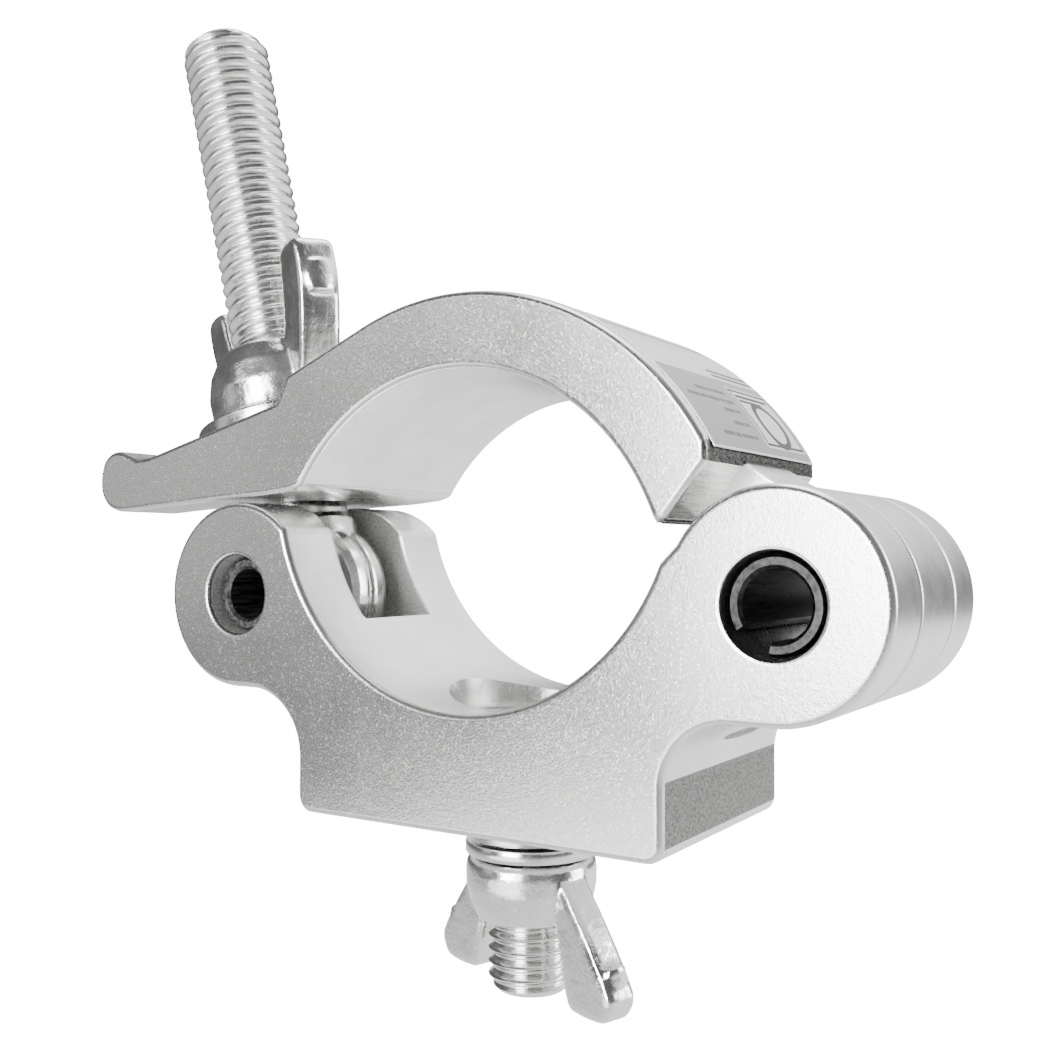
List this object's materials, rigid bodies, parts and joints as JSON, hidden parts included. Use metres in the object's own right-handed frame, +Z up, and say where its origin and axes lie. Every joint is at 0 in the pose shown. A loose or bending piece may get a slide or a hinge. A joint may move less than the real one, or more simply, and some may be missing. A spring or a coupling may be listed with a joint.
{
  "type": "pipe clamp",
  "caption": "Aluminium half-coupler pipe clamp: hinged two-piece jaw closed by a swing bolt and wing nut, with a bolted pad below for hanging a fixture.",
  "frame": {"origin": "middle of the lower jaw's pipe seat, halfway across its width", "axes": "+X towards the hinge, +Y along the pipe, +Z up from the fixture pad to the swing bolt's end"},
  "size_m": [0.1041, 0.03, 0.1224],
  "materials": {
    "jaw_aluminium": "satin, fine blasted grain on the sawn faces",
    "zinc_steel": "bright zinc plated",
    "cast_zinc": "bright plated casting, slightly uneven",
    "spring_steel": "dark phosphated spring steel",
    "label_foil": "printed silver foil sticker"
  },
  "bodies": {
    "lower_jaw": {"lower_jaw": "jaw_aluminium", "hinge_pin": "spring_steel", "latch_pin": "spring_steel", "fixture_bolt": "zinc_steel"},
    "upper_jaw": {"upper_jaw": "jaw_aluminium", "rating_label": "label_foil"},
    "swing_bolt": {"swing_bolt": "zinc_steel"},
    "clamp_washer": {"clamp_washer": "zinc_steel"},
    "clamp_wing_nut": {"clamp_wing_nut": "cast_zinc"},
    "fixture_washers": {"spring_washer": "zinc_steel", "plain_washer": "zinc_steel"},
    "fixture_wing_nut": {"fixture_wing_nut": "cast_zinc"}
  },
  "joints": [
    {"name": "jaw_hinge", "type": "hinge", "parent": "lower_jaw", "child": "upper_jaw", "pos_m": [0.035, 0, -0.01335], "axis": [0, 1, 0], "range_deg": [0, 21]},
    {"name": "bolt_swing", "type": "hinge", "parent": "lower_jaw", "child": "swing_bolt", "pos_m": [-0.0328, 0, -0.0135], "axis": [0, -1, 0], "range_deg": [0, 42.1]},
    {"name": "clamp_nut_travel", "type": "slide", "parent": "swing_bolt", "child": "clamp_washer", "axis": [-0.2348, 0, 0.972], "range_m": [0, 0.0508]},
    {"name": "clamp_nut_turn", "type": "hinge", "parent": "clamp_washer", "child": "clamp_wing_nut", "pos_m": [-0.0328, 0, -0.0135], "axis": [-0.2348, 0, 0.972], "range_deg": [0, 10450]},
    {"name": "fixture_nut_travel", "type": "slide", "parent": "lower_jaw", "child": "fixture_washers", "axis": [0, 0, -1], "range_m": [0, 0.012]},
    {"name": "fixture_nut_turn", "type": "hinge", "parent": "fixture_washers", "child": "fixture_wing_nut", "pos_m": [0, 0, -0.0431], "axis": [0, 0, -1], "range_deg": [0, 2885]}
  ],
  "couplings": [
    {"joint": "bolt_swing", "follows": "jaw_hinge", "ratio": 2},
    {"joint": "clamp_nut_travel", "follows": "jaw_hinge", "m_per_rad": 0.13847},
    {"joint": "clamp_nut_turn", "follows": "jaw_hinge", "ratio": 497.14},
    {"joint": "fixture_nut_turn", "follows": "fixture_nut_travel", "rad_per_m": 4188.8}
  ]
}
